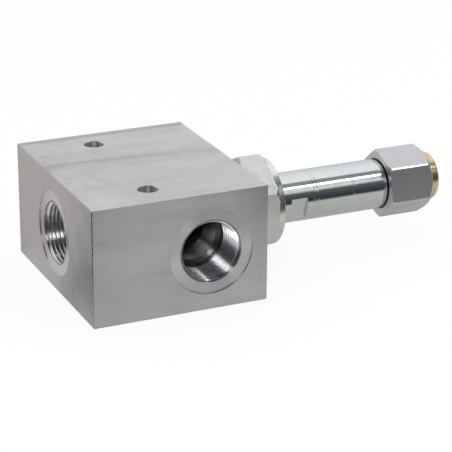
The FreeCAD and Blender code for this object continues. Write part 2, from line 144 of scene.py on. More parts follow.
class FinishColours(bpy.types.PropertyGroup):
    """Colours of the valve's metals, seals and plastic rings"""

    bar_stock: colour("Bar stock", "Drawn skin of the block", (0.765, 0.76, 0.775))
    warm_patch: colour("Warm patch", "Patch near a corner of the block's top", (0.83, 0.81, 0.795))
    # Darker than the skin: the ends' colour holds painted shade on the end faces
    shaded_milled_end: colour("Milled end", "Milled ends of the block", (0.575, 0.56, 0.57))
    # Near white: a painted highlight along the block's right front edge
    highlight_corner: colour("Light corner", "Right front corner of the block", (0.97, 0.97, 0.96))
    # Near black: the burred left front edge with its shadow painted in
    burr_shadow: colour("Burr", "Rolled burr on the block's left front corner", (0.03, 0.028, 0.03))
    fresh_cut: colour("Fresh cut", "Turned bores in the block", (0.83, 0.83, 0.84))
    end_spotface: colour("End spotface", "Ring face round the end port", (0.72, 0.71, 0.72))
    side_spotface: colour("Side spotface", "Ring face round the side port", (0.62, 0.62, 0.625))
    mounting_hole: colour("Mounting hole", "Walls of the mounting holes", (0.85, 0.85, 0.87))
    port_thread: colour("Port thread", "Threads cut in the block", (0.86, 0.87, 0.89))
    # Dark: painted shade on the bores' steps and the cavity's walls
    drilled_shade: colour("Drilled", "Drilled steps and inner walls of the block", (0.30, 0.29, 0.29))
    zinc: colour("Zinc plate", "Plated steel of the tube", (0.71, 0.755, 0.765))
    hexagon: colour("Hexagon", "Plated steel of the cartridge body", (0.81, 0.82, 0.825))
    nut: colour("Nut", "Aluminium of the coil nut", (0.69, 0.69, 0.725))
    brass: colour("Brass", "End plug and shim", (0.99, 0.82, 0.55))
    ground_steel: colour("Ground steel", "Spool, rod, seat and pin", (0.60, 0.61, 0.63))
    armature_iron: colour("Armature iron", "Soft iron core", (0.48, 0.49, 0.50))
    spring_wire: colour("Spring wire", "Drawn wire of spring and ring", (0.40, 0.41, 0.43))
    blackened: colour("Blackened steel", "Metering sleeve", (0.03, 0.03, 0.032))
    rubber: colour("Rubber", "Round seal rings", (0.032, 0.032, 0.034))
    rubber_bloom: colour("Rubber bloom", "Pale bloom on the seal rings", (0.05, 0.05, 0.052))
    ring_plastic: colour("Ring plastic", "Backup rings", (0.80, 0.79, 0.74))


class StudioSettings(bpy.types.PropertyGroup):
    """Camera, lamps, floor and reflection cards"""

    camera_place: FloatVectorProperty(
        name="Camera", description="Where the camera stands", default=(-0.27207, -0.67652, 0.30544),
        subtype="TRANSLATION", size=3, precision=5)
    camera_azimuth: angle("Azimuth", "Turn of the camera round the block", -24.772)
    camera_elevation: angle("Elevation", "Height of the camera as an angle", 21.233)
    camera_roll: angle("Roll", "Tilt of the camera about its view", 0.455)
    camera_lens: amount("Lens", "Focal length on a 36 mm sensor", 147.41, subtype="DISTANCE_CAMERA")
    key_level: amount("Key level", "Brightness of the soft box, where the background is 1", 5.6)
    camera_box_level: amount("Camera box level", "Brightness of the soft box over the camera", 5.0)
    end_port_level: amount("End port level", "Brightness of the end port's lamp", 8.0)
    side_port_level: amount("Side port level", "Brightness of the side port's lamp", 3.75)
    fill_level: amount("Fill level", "Light from all round, where the background is 1", 0.62)
    sky_low: amount("Sky low", "Brightness of the sky in metal, at the horizon", 0.62)
    sky_high: amount("Sky high", "Brightness of the sky in metal, overhead", 1.05)
    sky_reach: amount("Sky reach", "Height on a unit sphere where that is reached", 0.9)
    floor_colour: colour("Floor", "Colour of the floor", (0.92, 0.92, 0.92))
    floor_glow: share("Floor glow", "Share of the floor that shows plain white directly and in metal", 0.80)
    glow_level: amount("Glow level", "Brightness of that plain white", 1.09)
    table: colour("Table", "Floor under the valve, in its reflections", (0.50, 0.48, 0.46))
    front_table: colour("Front table", "Floor before the block, in its reflections", (0.635, 0.625, 0.63))
    table_glow: share("Table glow", "Even part of that floor's brightness", 0.5)
    side_level: share("Side level", "Brightness of the card beyond the cartridge's end", 0.13)
    grey_level: share("Grey level", "Brightness of the card over the valve", 0.3)
    dark_level: share("Dark level", "Brightness of the dark cards", 0.045)


def feed(tree, socket, value):
    """Gives a socket what nodes work out, a plain number, or a colour or direction of three parts."""
    if isinstance(value, bpy.types.Node):
        value = value.outputs[0]
    if isinstance(value, Value):
        value = value.socket
    if isinstance(value, bpy.types.NodeSocket):
        tree.links.new(value, socket)
    elif socket.type == "RGBA":
        socket.default_value = (*value, 1.0)
    else:
        socket.default_value = value


def new_node(tree, kind, inputs, **settings):
    """A new node with its settings, and with what its inputs take, by number or name."""
    node = tree.nodes.new(kind)
    for name, value in settings.items():
        setattr(node, name, value)
    for key, value in inputs.items():
        feed(tree, node.inputs[key], value)
    return node


def bare_material(name):
    """A material with an output only, its nodes, and the socket for its surface."""
    material = bpy.data.materials.new(name)
    material.use_nodes = True
    tree = material.node_tree
    tree.nodes.clear()
    return material, tree, new_node(tree, "ShaderNodeOutputMaterial", {}).inputs["Surface"]


class Value:
    """A number at each point of a surface. A mask is one that is 0 or 1, and ~ turns it round."""

    def __init__(self, tree, socket):
        self.tree = tree
        self.socket = socket

    def work_out(self, operation, *operands):
        node = new_node(self.tree, "ShaderNodeMath", dict(enumerate(operands)), operation=operation)
        return Value(self.tree, node.outputs[0])

    def __add__(self, other):
        return self.work_out("ADD", self, other)

    def __sub__(self, other):
        return self.work_out("SUBTRACT", self, other)

    def __rsub__(self, other):
        return self.work_out("SUBTRACT", other, self)

    def __mul__(self, other):
        return self.work_out("MULTIPLY", self, other)

    def __rmul__(self, other):
        return self * other

    def __truediv__(self, other):
        return self.work_out("DIVIDE", self, other)

    def __lt__(self, limit):
        return self.work_out("LESS_THAN", self, limit)

    def __gt__(self, limit):
        return self.work_out("GREATER_THAN", self, limit)

    def __abs__(self):
        return self.work_out("ABSOLUTE", self)

    def __invert__(self):
        return 1.0 - self


def lesser(first, second):
    """The lower of two numbers at each point."""
    return first.work_out("MINIMUM", first, second)


def greater(first, second):
    """The higher of two numbers at each point."""
    return first.work_out("MAXIMUM", first, second)


def distance(first, second):
    """Distance from a line, given the offsets from it both ways."""
    squares = first * first + second * second
    return squares.work_out("SQRT", squares)


def bell(value, centre, width):
    """One at the centre, falling off softly on both sides."""
    away = (value - centre) / width
    return away.work_out("EXPONENT", away * away * -1.0)


def ramp(value, low, high, at_low=0.0, at_high=1.0):
    """From one number to another as a value goes from low to high, and level beyond."""
    inputs = dict(enumerate((value, low, high, at_low, at_high)))
    return Value(value.tree, new_node(value.tree, "ShaderNodeMapRange", inputs).outputs[0])


def choose(mask, outside, inside):
    """One number where the mask is 0 and another where it is 1."""
    return ramp(mask, 0.0, 1.0, outside, inside)


def split(tree, vector):
    """The three parts of a place or direction."""
    return [Value(tree, part) for part in new_node(tree, "ShaderNodeSeparateXYZ", {0: vector}).outputs]


# Rays that find an edge to round off, the turn from marks to highlights across them, and how far a wall may
# face the cartridge's end
EDGE_SAMPLES = 6
QUARTER_TURN = 0.25
WALL_FACING = 0.2


class Finish:
    """A finish for one metal, rubber or plastic, whose colour, gloss and relief vary."""

    def __init__(self, name, base, metallic=1.0, edge_radius=0.12 * MM):
        self.material, self.tree, surface = bare_material(name)
        self.base = tuple(base)
        self.shader = self.add("ShaderNodeBsdfPrincipled", {"Metallic": metallic})
        feed(self.tree, surface, self.shader)
        places = self.add("ShaderNodeTexCoord", {})
        self.place = places.outputs["Object"]
        self.x, self.y, self.z = split(self.tree, self.place)
        self.facing_x = abs(split(self.tree, places.outputs["Normal"])[0])
        self.edge = None
        if edge_radius:
            self.edge = self.add("ShaderNodeBevel", {"Radius": edge_radius}, samples=EDGE_SAMPLES)
            self.set("Normal", self.edge)

    def add(self, kind, inputs, **settings):
        return new_node(self.tree, kind, inputs, **settings)

    def set(self, name, value):
        feed(self.tree, self.shader.inputs[name], value)

    def noise(self, size, detail=3.0, along=1.0, across=1.0):
        """Clouds of that size, from 0 to 1. They may be some times longer along the cartridge or across."""
        scale = [1 / (size * factor) for factor in (along, across, across)]
        place = self.add("ShaderNodeVectorMath", {0: self.place, 1: scale}, operation="MULTIPLY")
        return self.texture("Vector", place, "3D", detail)

    def lines(self, coordinate, spacing, detail=2.0):
        """Uneven parallel lines along one coordinate, from 0 to 1."""
        return self.texture("W", coordinate / spacing, "1D", detail)

    def texture(self, socket, place, dimensions, detail):
        inputs = {socket: place, "Scale": 1.0, "Detail": detail}
        node = self.add("ShaderNodeTexNoise", inputs, noise_dimensions=dimensions)
        return Value(self.tree, node.outputs[0])

    def mix(self, factor, first, second):
        """From one colour or direction to another as the factor goes from 0 to 1."""
        return self.add("ShaderNodeMix", {0: factor, 6: first, 7: second}, data_type="RGBA").outputs[2]

    def shade(self, factor, dark=0.8, hue=WHITE):
        """The base colour, darkened towards a hue where the factor is 1."""
        worn = [part * dark * tint for part, tint in zip(self.base, hue)]
        self.set("Base Color", self.mix(factor, self.base, worn))

    def relief(self, height):
        """Surface relief, as a height in metres."""
        bump = self.add("ShaderNodeBump", {"Strength": 1.0, "Distance": 1.0, "Height": height})
        if self.edge:
            feed(self.tree, bump.inputs["Normal"], self.edge)
        self.set("Normal", bump)

    def around(self, axis, centre):
        """The direction in which marks turned about an axis run."""
        offset = self.add("ShaderNodeVectorMath", {0: self.place, 1: centre}, operation="SUBTRACT")
        return self.add("ShaderNodeVectorMath", {0: axis, 1: offset}, operation="CROSS_PRODUCT")

    def around_cartridge(self):
        return self.around(ALONG_CARTRIDGE, (0.0, 0.0, AXIS_Z))

    def around_side_port(self):
        return self.around(ALONG_SIDE_PORT, (SIDE_PORT_X, 0.0, AXIS_Z))

    def brushed(self, run, strength):
        """Spreads highlights across marks that run in a direction."""
        self.set("Anisotropic", strength)
        self.set("Anisotropic Rotation", QUARTER_TURN)
        self.set("Tangent", self.add(
            "ShaderNodeVectorTransform", {0: run}, vector_type="VECTOR", convert_from="OBJECT",
            convert_to="WORLD"))

    def from_axis(self):
        return distance(self.y, self.z - AXIS_Z)

    def from_side_port(self):
        return distance(self.x - SIDE_PORT_X, self.z - AXIS_Z)

    def ring(self):
        """A coordinate that counts turned marks on walls and faces round the cartridge's axis."""
        return self.x + self.from_axis()


def bar_stock_finish(colours):
    """Drawn skin on four sides, milled ends and bright turned bores."""
    block = Finish("bar_stock", colours.bar_stock, edge_radius=0.15 * MM)
    x, y, z = block.x, block.y, block.z
    skin = 0.05 * MM
    corner = 0.8 * MM
    from_end = BLOCK_HIGH.x - abs(x)
    from_top = BLOCK_HIGH.z - z
    from_skin = lesser(lesser(BLOCK_HIGH.y - abs(y), from_top), z)
    is_end = from_end < skin
    is_skin = (from_skin < skin) * ~is_end
    is_corner = ~is_end * ~is_skin * (from_end < corner) * (from_skin < corner)
    is_cut = ~(is_end + is_skin + is_corner)
    is_top = from_top < skin
    is_front = y < skin - BLOCK_HIGH.y

    # Mounting holes, and both ports by distance from their axis and depth under their face
    hole_x, hole_y, _ = MOUNTS["mounting_holes"]["pos_m"]
    half_spacing = MOUNTS["mounting_holes"]["dims"]["spacing_y_mm"] / 2 * MM
    hole_middle = choose(y > hole_y, hole_y - half_spacing, hole_y + half_spacing)
    in_hole = distance(y - hole_middle, x - hole_x) < MOUNT_HOLE_RADIUS + 0.5 * MM
    widest_port = 18.7 * MM
    widest_cavity = 18.3 * MM
    side_port_end = -13.5 * MM
    end_port_length = 27.0 * MM
    spotface_depth = 0.6 * MM
    step_start = 17.4 * MM
    taper_start = 19.7 * MM
    from_side_port = block.from_side_port()
    from_axis = block.from_axis()
    end_depth = x + BLOCK_HIGH.x
    in_side_port = (y < side_port_end) * (from_side_port < widest_port)
    in_end_port = (end_depth < end_port_length) * (from_axis < widest_port)
    in_port = greater(in_side_port, in_end_port)
    port_depth = choose(in_side_port, end_depth, y + BLOCK_HIGH.y)
    on_spotface = in_port * (port_depth < spotface_depth)
    on_step = in_port * (port_depth > step_start) * (port_depth < taper_start)
    in_cavity = (from_axis < widest_cavity) * ~in_port

    # Marks: long drawing lines, milling arcs and turned rings
    arc_y, arc_z = 15.0 * MM, -25.0 * MM
    fine_lines = block.noise(0.35 * MM, along=60.0)
    broad_lines = block.noise(6.0 * MM, along=9.0)
    clouds = block.noise(14.0 * MM, 4.0)
    grain = block.noise(0.5 * MM)
    arcs = block.lines(distance(y - arc_y, z - arc_z), 1.3 * MM, 3.0)
    arcs *= ramp(block.noise(9.0 * MM, 2.0), 0.35, 0.65, 0.4, 1.0)
    arcs *= ramp(y, -30.0 * MM, 20.0 * MM, 1.0, 0.25)
    ring = choose(in_side_port, block.ring(), from_side_port + y)
    rings = block.lines(choose(in_hole, ring, z), 0.16 * MM)
    block.relief(
        is_skin * (2.0 * UM * fine_lines + 1.5 * UM * grain) + is_end * (3.0 * UM * arcs + 2.0 * UM * grain)
        + is_cut * rings * (2.0 * UM))

    # Highlights spread across the drawing lines, the arcs and the turned rings
    about_hole = block.add("ShaderNodeCombineXYZ", {0: hole_middle - y, 1: x - hole_x})
    run = block.mix(is_end, ALONG_CARTRIDGE, block.around(ALONG_CARTRIDGE, (0.0, arc_y, arc_z)))
    run = block.mix(is_cut, run, block.around_cartridge())
    run = block.mix(is_cut * in_side_port, run, block.around_side_port())
    run = block.mix(is_cut * in_hole, run, about_hole)
    block.brushed(run, 0.9)

    # Skin: a bowed darker streak and blotches on top, another streak by its back edge, and a warm patch
    slope, bend = 0.087, 0.796
    bow = y + slope * x + bend * x * x
    streak = is_top * greater(bell(bow, 9.3 * MM, 2.4 * MM), 0.6 * bell(bow, 7.4 * MM, 4.2 * MM))
    streak *= ramp(x, -38.0 * MM, 32.0 * MM, 1.0, 0.6)
    streak *= ramp(block.noise(5.0 * MM, along=2.0), 0.3, 0.6, 0.55, 1.0)
    blotches = is_top * ramp(block.noise(4.0 * MM), 0.54, 0.68)
    blotches *= ramp(x, -38.0 * MM, 5.0 * MM, 1.0, 0.2)
    back_streak = is_top * ramp(y, 40.2 * MM, 41.6 * MM)
    back_streak *= ramp(block.noise(4.0 * MM, along=2.0), 0.3, 0.6, 0.5, 1.0)
    mottles = ramp(block.noise(1.6 * MM, along=2.5), 0.45, 0.7, 0.0, 0.16)
    # Painted shade: the front face darkens towards its upper corners
    upper_corner_shade = is_front * ramp(abs(x), 20.0 * MM, 38.0 * MM) * ramp(z, 24.0 * MM, 49.0 * MM)
    long_marks = ramp(broad_lines, 0.35, 0.7, 0.0, 0.13) + ramp(fine_lines, 0.4, 0.7, 0.0, 0.16)
    tone = is_skin * (long_marks + mottles) + ramp(clouds, 0.4, 0.7, 0.0, 0.22) * ~is_cut
    tone += 0.4 * blotches + 1.05 * streak + 1.3 * back_streak + 0.6 * upper_corner_shade
    dark_skin = [0.74 * part for part in block.base]
    outside = block.mix(tone, block.base, dark_skin)
    warm_patch = is_top * bell(x, -30.0 * MM, 12.0 * MM) * bell(y, -36.0 * MM, 12.0 * MM)
    outside = block.mix(warm_patch, outside, colours.warm_patch)

    # Ends and corners, with a painted highlight on the right front corner and a burred edge's painted shadow
    # on the left
    # The ends' and chamfered corners' colour is darkened with painted shade
    worn_end = [0.9 * part for part in colours.shaded_milled_end]
    end_colour = block.mix(ramp(arcs, 0.1, 0.6), colours.shaded_milled_end, worn_end)
    outside = block.mix(is_end + is_corner, outside, end_colour)
    front_corner = is_corner * (y < -44.0 * MM)
    # Painted highlight: the right front corner is near white
    outside = block.mix(front_corner * (x > 0.0), outside, colours.highlight_corner)
    # Painted shadow of the burred edge on the left front corner, near black
    burr_shadow = front_corner * (x < 0.0) * (from_top < 49.0 * MM)
    burr_shadow *= ramp(block.noise(1.1 * MM, 2.0), 0.49, 0.54) * ramp(z, 8.0 * MM, 28.0 * MM)

    # Ports, cavity and holes, with painted shade on the bores' steps and the cavity's walls
    spotface = block.mix(in_side_port, colours.end_spotface, colours.side_spotface)
    inside = block.mix(on_spotface, colours.fresh_cut, spotface)
    inside = block.mix(in_hole, inside, colours.mounting_hole)
    inside = block.mix(greater(on_step, in_cavity), inside, colours.drilled_shade)
    block.set("Base Color", block.mix(burr_shadow, block.mix(is_cut, outside, inside), colours.burr_shadow))
    bore_gloss = ramp(port_depth, taper_start - 0.1 * MM, taper_start, 0.25, 0.18)
    bore_gloss = choose(in_hole, bore_gloss, 0.38)
    block.set("Roughness", (
        is_skin * ramp(broad_lines, 0.3, 0.7, 0.40, 0.48)
        + (is_end + is_corner) * ramp(arcs, 0.1, 0.6, 0.38, 0.46)
        + is_cut * choose(on_spotface, bore_gloss, 0.40)))
    return block.material


def port_thread_finish(colours):
    """Freshly cut aluminium, with chatter lines that run round with the thread, and painted shade in its
    roots.
    """
    thread = Finish("port_thread", colours.port_thread, edge_radius=0.0)
    in_side_port = thread.x > SIDE_PORT_X - 18.0 * MM
    from_port_axis = choose(in_side_port, thread.from_axis(), thread.from_side_port())
    # Painted shade: the thread darkens towards its roots
    root_shade = ramp(from_port_axis, PORT_ROOT_RADIUS - 0.75 * MM, PORT_ROOT_RADIUS - 0.1 * MM)
    marks = thread.lines(choose(in_side_port, thread.x, thread.y), 0.12 * MM, 3.0)
    thread.shade(0.8 * root_shade + ramp(marks, 0.35, 0.75, 0.0, 0.2), 0.45)
    thread.set("Roughness", ramp(marks, 0.3, 0.7, 0.23, 0.30))
    thread.relief(0.6 * UM * marks)
    thread.brushed(thread.mix(in_side_port, thread.around_cartridge(), thread.around_side_port()), 0.9)
    return thread.material


def turned_finish(name, base, roughness, spacing, depth, dark=0.9):
    """A part turned about the cartridge's axis: fine uneven rings and faint clouds."""
    turned = Finish(name, base, edge_radius=0.1 * MM)
    rings = turned.lines(turned.ring(), spacing)
    clouds = turned.noise(5.0 * MM)
    turned.shade(ramp(rings, 0.3, 0.7, 0.0, 0.5) + ramp(clouds, 0.4, 0.7, 0.0, 0.5), dark)
    turned.set("Roughness", ramp(clouds, 0.3, 0.7, roughness * 0.85, roughness * 1.2))
    turned.relief(rings * depth)
    turned.brushed(turned.around_cartridge(), 0.7)
    return turned.material


def zinc_hexagon_finish(colours):
    """Zinc-plated bar: drawn flats with faint handling marks, and turned collar, flange and thread."""
    zinc = Finish("zinc_hexagon", colours.hexagon, edge_radius=0.2 * MM)
    flats_start = 19.1 * MM
    on_flat = (zinc.from_axis() > flats_start) * (zinc.facing_x < WALL_FACING)
    rings = zinc.lines(zinc.ring(), 0.14 * MM)
    drawn = zinc.noise(0.4 * MM, along=12.0)
    clouds = zinc.noise(3.5 * MM, 4.0)
    marks = ramp(clouds, 0.42, 0.7, 0.0, 0.55) + on_flat * ramp(drawn, 0.4, 0.7, 0.0, 0.35)
    zinc.shade(marks, 0.86, (1.0, 0.995, 0.97))
    zinc.set("Roughness", choose(on_flat, 0.27, ramp(clouds, 0.3, 0.7, 0.27, 0.36)))
    zinc.relief(on_flat * drawn * (2.0 * UM) + ~on_flat * rings * (1.0 * UM))
    zinc.brushed(zinc.mix(on_flat, zinc.around_cartridge(), ALONG_CARTRIDGE), 0.6)
    return zinc.material


def coil_nut_finish(colours):
    """Drawn hexagon bar with streaks along its flats, turned corners, faces and bore."""
    nut = Finish("coil_nut", colours.nut)
    from_axis = nut.from_axis()
    flats_start, flats_end = 13.42 * MM, 15.32 * MM
    on_flat = (from_axis > flats_start) * (nut.facing_x < WALL_FACING) * (from_axis < flats_end)
    streaks = nut.noise(0.5 * MM, 4.0, along=40.0)
    fine = nut.noise(0.16 * MM, 2.0, along=40.0)
    rings = nut.lines(nut.ring(), 0.15 * MM)
    nut.shade(on_flat * ramp(streaks, 0.36, 0.68, 0.0, 0.6) + ramp(fine, 0.4, 0.7, 0.0, 0.2), 0.85)
    nut.set("Roughness", choose(
        on_flat, ramp(nut.facing_x, 0.3, 0.6, 0.20, 0.42), ramp(streaks, 0.3, 0.7, 0.33, 0.40)))
    nut.relief(on_flat * (1.2 * UM * streaks + 0.6 * UM * fine) + ~on_flat * rings * (1.2 * UM))
    nut.brushed(nut.mix(on_flat, nut.around_cartridge(), ALONG_CARTRIDGE), 0.7)
    return nut.material


def rubber_finish(colours):
    """Moulded rubber with a faint bloom and a fine matt skin."""
    rubber = Finish("seal_rubber", colours.rubber, metallic=0.0, edge_radius=0.0)
    bloom = rubber.noise(1.2 * MM, 4.0)
    rubber.set("Base Color", rubber.mix(ramp(bloom, 0.45, 0.75), rubber.base, colours.rubber_bloom))
    rubber.set("Roughness", ramp(bloom, 0.3, 0.7, 0.42, 0.62))
    rubber.relief(3.0 * UM * rubber.noise(0.06 * MM, 2.0))
    return rubber.material


def ring_plastic_finish(colours):
    """Machined plastic of the backup rings, off-white with fine cutting lines."""
    plastic = Finish("ring_plastic", colours.ring_plastic, metallic=0.0)
    rings = plastic.lines(plastic.ring(), 0.1 * MM)
    plastic.shade(ramp(rings, 0.35, 0.75), 0.88, (1.0, 0.99, 0.95))
    plastic.set("Roughness", ramp(rings, 0.3, 0.7, 0.38, 0.52))
    plastic.relief(3.0 * UM * rings)
    return plastic.material


def wire_finish(colours):
    """Drawn spring wire, with short die lines and an oily sheen."""
    wire = Finish("spring_wire", colours.spring_wire, edge_radius=0.0)
    lines = wire.noise(0.08 * MM, 2.0, across=3.0)
    wire.shade(ramp(lines, 0.35, 0.7), 0.75)
    wire.set("Roughness", ramp(lines, 0.3, 0.7, 0.24, 0.38))
    wire.relief(1.5 * UM * lines)
    return wire.material


def wear(material, *nodes):
    """Gives packed nodes a finish."""
    for node in nodes:
        for item in frame["nodes"][node].material_slots:
            item.material = material


def profile_height(profile, phase):
    """Height on a thread's profile, a list of (phase, height) that begins at 0 and ends at 1."""
    phase %= 1.0
    for (before, low), (after, high) in zip(profile, profile[1:]):
        if phase <= after:
            return low + (high - low) * (phase - before) / (after - before)
    return profile[-1][1]


def thread_mesh(place, profile, pitch, start, end, radius_at, segments):
    """A thread's surface, in rows of points that follow its helix."""
    per_turn = len(profile) - 1
    first = math.floor(start / pitch) - 1
    last = math.ceil(end / pitch) + 1
    mesh = bmesh.new()
    rows = []
    for row in range((last - first) * per_turn):
        turn_number, step = divmod(row, per_turn)
        points = []
        for segment in range(segments):
            turn = 2 * math.pi * segment / segments
            along = (first + turn_number + profile[step][0] + segment / segments) * pitch
            along = min(max(along, start), end)
            height = profile_height(profile, along / pitch - segment / segments)
            points.append(mesh.verts.new(place(along, radius_at(along, height), turn)))
        rows.append(points)

    # The last segment joins the row that is one turn further on
    for row in range(len(rows) - per_turn - 1):
        for segment in range(segments):
            after = (segment + 1) % segments
            far = row if after else row + per_turn
            mesh.faces.new([
                rows[row][segment], rows[far][after], rows[far + 1][after], rows[row + 1][segment]])
    return mesh


def add_turned_walls(mesh, place, outline, segments):
    """Turns an outline, a list of (distance, radius), about an axis."""
    turns = [2 * math.pi * segment / segments for segment in range(segments)]
    loops = [[mesh.verts.new(place(along, radius, turn)) for turn in turns] for along, radius in outline]
    for near, far in zip(loops, loops[1:]):
        for segment in range(segments):
            after = (segment + 1) % segments
            mesh.faces.new([near[segment], near[after], far[after], far[segment]])


def put(name, data):
    """Puts new data in the scene as an object."""
    made = bpy.data.objects.new(name, data)
    bpy.context.scene.collection.objects.link(made)
    return made


# Closer points are joined, shorter edges dropped, and faces shaded as one curve up to the angle between them
JOIN_DISTANCE = 0.2 * UM
SHORTEST_EDGE = 0.1 * UM
SMOOTH_ANGLE = math.radians(35.0)


def mesh_piece(name, body, material, mesh):
    """Cleans a mesh and puts it in the scene as a piece, which rides on a body if one is given."""
    bmesh.ops.remove_doubles(mesh, verts=mesh.verts, dist=JOIN_DISTANCE)
    bmesh.ops.dissolve_degenerate(mesh, edges=mesh.edges, dist=SHORTEST_EDGE)
    loose = [vert for vert in mesh.verts if not vert.link_faces]
    bmesh.ops.delete(mesh, geom=loose, context="VERTS")
    bmesh.ops.recalc_face_normals(mesh, faces=mesh.faces)
    for face in mesh.faces:
        face.smooth = True
    for edge in mesh.edges:
        edge.smooth = edge.calc_face_angle(0.0) < SMOOTH_ANGLE
    data = bpy.data.meshes.new(name)
    mesh.to_mesh(data)
    mesh.free()
    data.materials.append(material)
    piece = put(name, data)
    if body:
        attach(piece, body)
    return piece


def axis_frame(origin, direction):
    """Takes (distance, radius, turn) about an axis to a place. Turns are right-handed about the axis."""
    direction = Vector(direction)
    across = Vector((0, 0, 1)).cross(direction).normalized()
    up = direction.cross(across)

    def place(along, radius, turn):
        outward = across * math.cos(turn) + up * math.sin(turn)
        return Vector(origin) + direction * along + outward * radius

    return place


# Distances for the plug's and the nut's thread are taken from the plug's inner end
ON_PLUG = axis_frame((PLUG_LOW.x, 0, AXIS_Z), ALONG_CARTRIDGE)

# A pipe thread's crests and roots are arcs of this share of the pitch, and its flanks lean by 27.5 degrees
PIPE_ARC = 0.1373
PIPE_DEPTH = 0.6403
PIPE_SLOPE = math.radians(62.5)
PIPE_ARC_STEPS = 4


def pipe_profile():
    """A pipe thread's profile: straight flanks between round crests and roots."""
    turns = [PIPE_SLOPE * step / PIPE_ARC_STEPS for step in range(PIPE_ARC_STEPS + 1)]
    crest = [(PIPE_ARC * math.sin(turn), 1 - PIPE_ARC * (1 - math.cos(turn)) / PIPE_DEPTH) for turn in turns]
    falling = crest + [(0.5 - phase, 1 - height) for phase, height in reversed(crest)]
    return falling + [(1 - phase, height) for phase, height in reversed(falling[:-1])]


# Half the widths of a metric thread's flat crest and root, as shares of the pitch, and its profile
METRIC_CREST = 1 / 16
METRIC_ROOT = 1 / 8
METRIC_PROFILE = [
    (0.0, 1.0), (METRIC_CREST, 1.0), (0.5 - METRIC_ROOT, 0.0), (0.5 + METRIC_ROOT, 0.0),
    (1.0 - METRIC_CREST, 1.0), (1.0, 1.0)]

# Straight parts of one turn, and of the rounded shoulder under the tube's rolled end
PORT_SEGMENTS = 112
PLUG_SEGMENTS = 96
SHOULDER_STEPS = 8


class VALVE_OT_block(bpy.types.Operator):
    """Finish the block and cut the threads of its two ports"""

    bl_idname = "valve.block"
    bl_label = "Block and port threads"

    def execute(self, context):
        sizes = context.scene.valve_port_thread
        colours = context.scene.valve_colours
        wear(bar_stock_finish(colours), "manifold_block")
        material = port_thread_finish(colours)
        start = sizes.spotface
        end = start + sizes.reach - sizes.relief
        mouth_radius = PORT_ROOT_RADIUS + sizes.mouth_chamfer
        runout_length = 0.4 * sizes.pitch

        def radius_at(along, height):
            countersink = mouth_radius - (along - start)
            runout = (end - along) / runout_length
            ridge = PORT_ROOT_RADIUS - sizes.depth * height * min(runout, 1.0)
            return min(max(ridge, countersink), PORT_ROOT_RADIUS)

        places = {
            "port_1_thread": axis_frame((BLOCK_LOW.x, 0, AXIS_Z), ALONG_CARTRIDGE),
            "port_2_thread": axis_frame((SIDE_PORT_X, BLOCK_LOW.y, AXIS_Z), ALONG_SIDE_PORT),
        }
        for name, place in places.items():
            mesh = thread_mesh(place, pipe_profile(), sizes.pitch, start, end, radius_at, PORT_SEGMENTS)
            mesh_piece(name, "valve_body", material, mesh)
        return {"FINISHED"}


class VALVE_OT_cartridge(bpy.types.Operator):
    """Finish the zinc-plated cartridge body and the armature tube's three parts"""

    bl_idname = "valve.cartridge"
    bl_label = "Cartridge body and tube"

    def execute(self, context):
        colours = context.scene.valve_colours
        wear(zinc_hexagon_finish(colours), "cartridge_body")
        tube = turned_finish("turned_zinc", colours.zinc, 0.13, 0.11 * MM, 1.0 * UM, 0.93)
        wear(tube, "pole_piece", "nonmagnetic_ring", "armature_tube")
        return {"FINISHED"}


class VALVE_OT_end_plug(bpy.types.Operator):
    """Build the brass end plug with its thread"""

    bl_idname = "valve.end_plug"
    bl_label = "End plug"

    def execute(self, context):
        thread = context.scene.valve_plug_thread
        colours = context.scene.valve_colours
        brass = turned_finish("turned_brass", colours.brass, 0.22, 0.13 * MM, 1.4 * UM, 0.85)
        wear(brass, "end_plug", "anti_stick_shim")
        reach = PLUG_HIGH.x - PLUG_LOW.x
        thread_foot = thread.radius - thread.end_chamfer

        def radius_at(along, height):
            cone = thread_foot + min(along - thread.start, reach - along)
            return min(thread.radius - thread.depth * (1.0 - height), cone)

        mesh = thread_mesh(
            ON_PLUG, METRIC_PROFILE, thread.pitch, thread.start, reach, radius_at, PLUG_SEGMENTS)
        outline = self.outline(context.scene.valve_plug, thread, reach, thread_foot)
        add_turned_walls(mesh, ON_PLUG, outline, PLUG_SEGMENTS)
        piece = mesh_piece("end_plug_threaded", "valve_body", brass, mesh)
        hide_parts("end_plug")
        return {"FINISHED"}

    def outline(self, sizes, thread, reach, thread_foot):
        """The plug's plain walls, from the thread's outer end through the bore to its inner end."""
        groove_start = (sizes.body_length - sizes.groove_length) / 2
        groove_end = groove_start + sizes.groove_length
        bend = sizes.roll_length / math.sin(sizes.roll_angle)
        turns = [sizes.roll_angle * step / SHOULDER_STEPS for step in range(SHOULDER_STEPS + 1)]
        shoulder = [
            (sizes.body_length + bend * math.sin(turn), sizes.body_radius - bend * (1 - math.cos(turn)))
            for turn in turns]
        return [
            (reach, thread_foot),
            (reach, sizes.bore_radius),
            (sizes.pocket_depth, sizes.bore_radius),
            (sizes.pocket_depth, sizes.pocket_radius),
            (0.0, sizes.pocket_radius),
            (0.0, sizes.body_radius),
            (groove_start, sizes.body_radius),
            (groove_start, sizes.groove_radius),
            (groove_end, sizes.groove_radius),
            (groove_end, sizes.body_radius),
            *shoulder,
            (thread.start, sizes.neck_radius),
            (thread.start, thread_foot),
        ]


